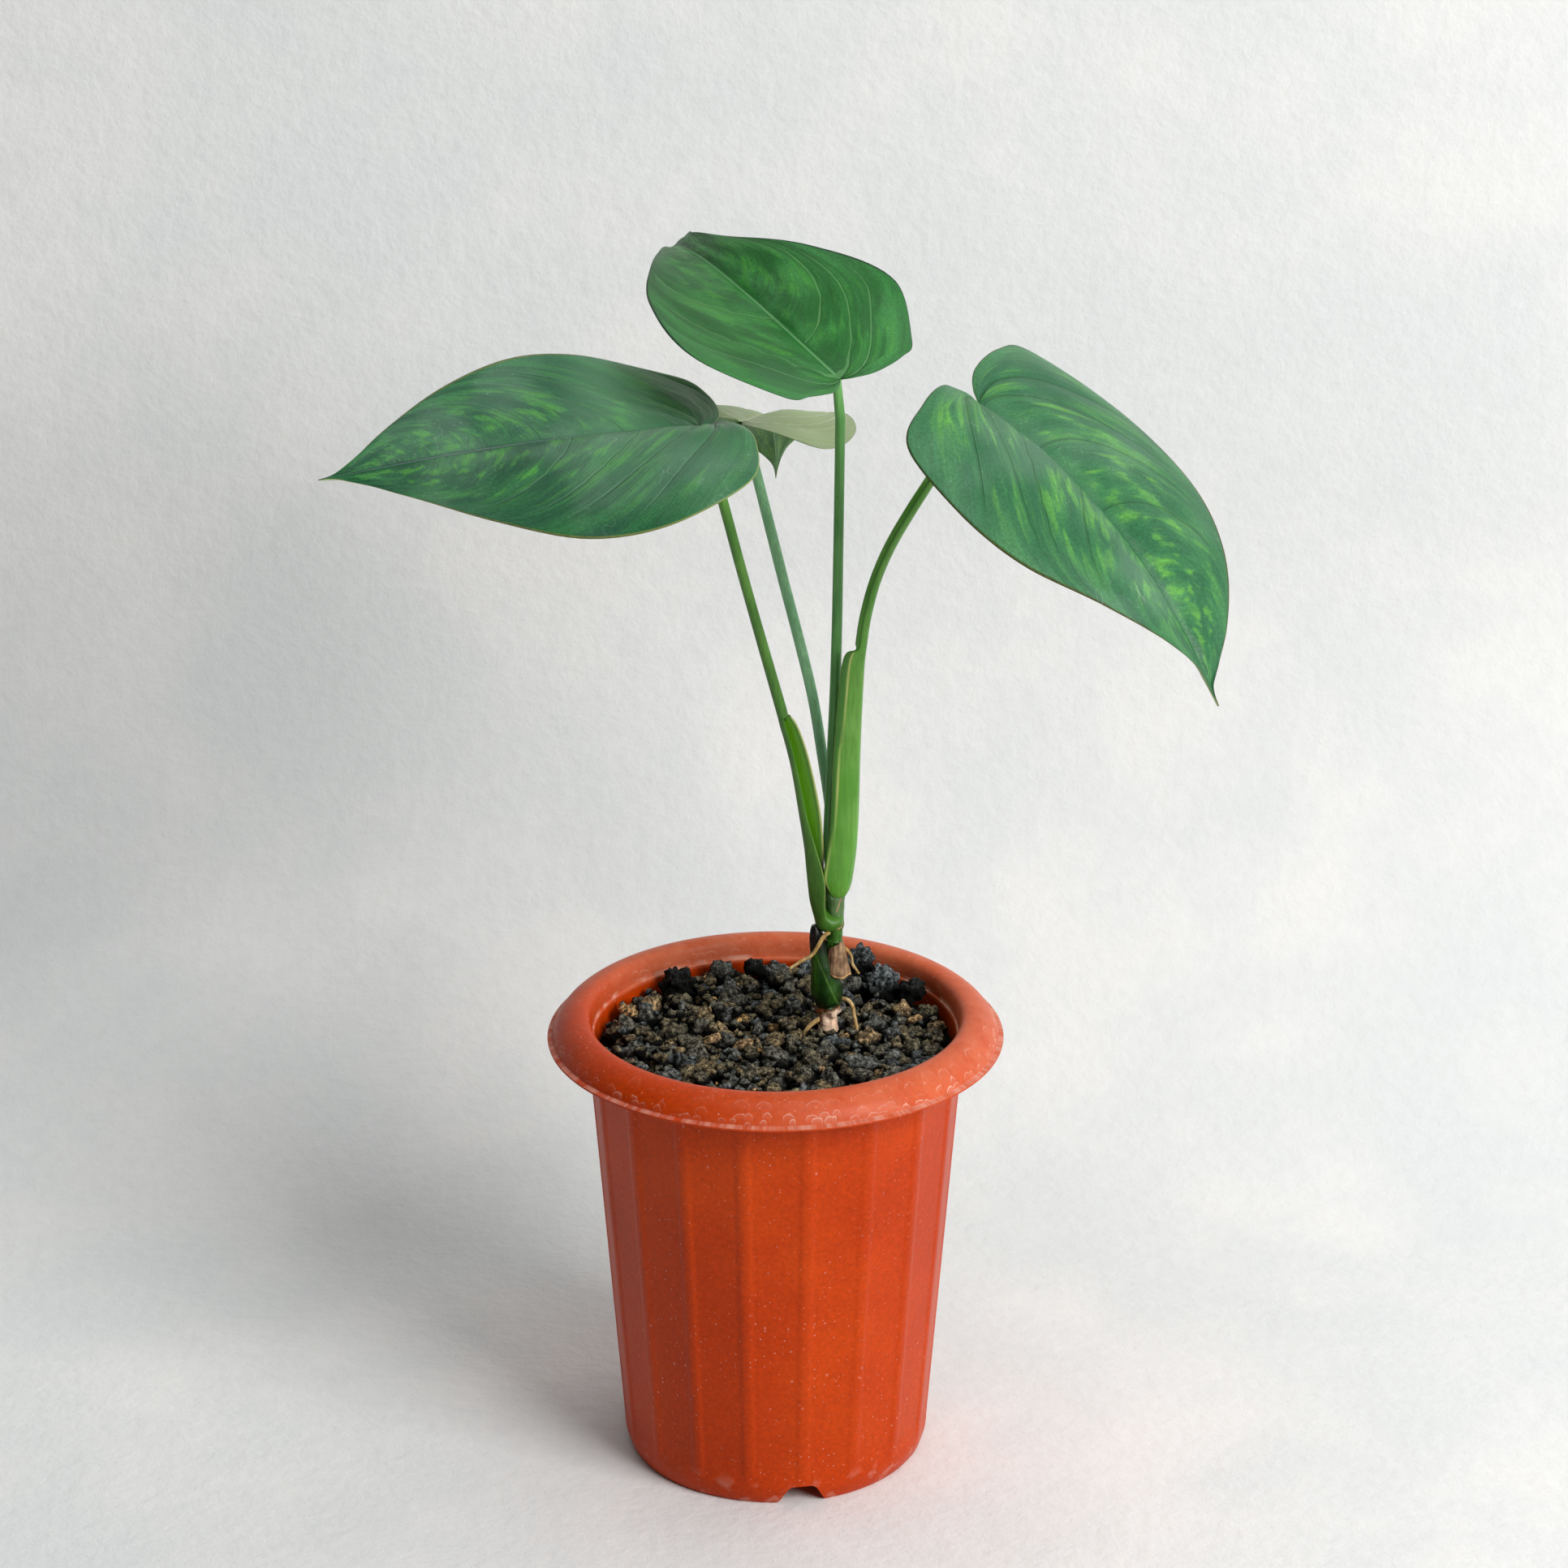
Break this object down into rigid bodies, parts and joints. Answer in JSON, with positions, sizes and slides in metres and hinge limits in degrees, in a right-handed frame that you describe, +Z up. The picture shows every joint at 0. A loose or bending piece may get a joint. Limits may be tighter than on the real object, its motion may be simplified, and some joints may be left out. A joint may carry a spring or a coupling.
{
  "type": "potted houseplant",
  "caption": "Young potted aroid with heart-shaped mottled leaves on sheathed petioles, in volcanic grit in a fluted terracotta-coloured plastic pot.",
  "frame": {"origin": "middle of the whole plant's bounding box in x and y, on the surface that the pot stands on", "axes": "+Z up the plant, -Y to the front, +X to the right"},
  "size_m": [0.2812, 0.1934, 0.4042],
  "materials": {
    "pot_plastic": "satin",
    "grit": "matte",
    "stem_green": "satin",
    "petiole_green": "satin",
    "leaf_green": "satin",
    "husk_brown": "matte",
    "root_tan": "matte"
  },
  "bodies": {
    "root": {"pot": "pot_plastic", "soil": "grit", "stem": "stem_green", "petiole_left": "petiole_green", "petiole_back": "petiole_green", "petiole_centre": "petiole_green", "petiole_right": "petiole_green", "leaf_left": "leaf_green", "leaf_back": "leaf_green", "leaf_top": "leaf_green", "leaf_right": "leaf_green", "old_sheath": "stem_green", "husk": "husk_brown", "root_left": "root_tan", "root_right": "root_tan", "root_low": "root_tan", "root_foot": "root_tan"}
  },
  "joints": []
}
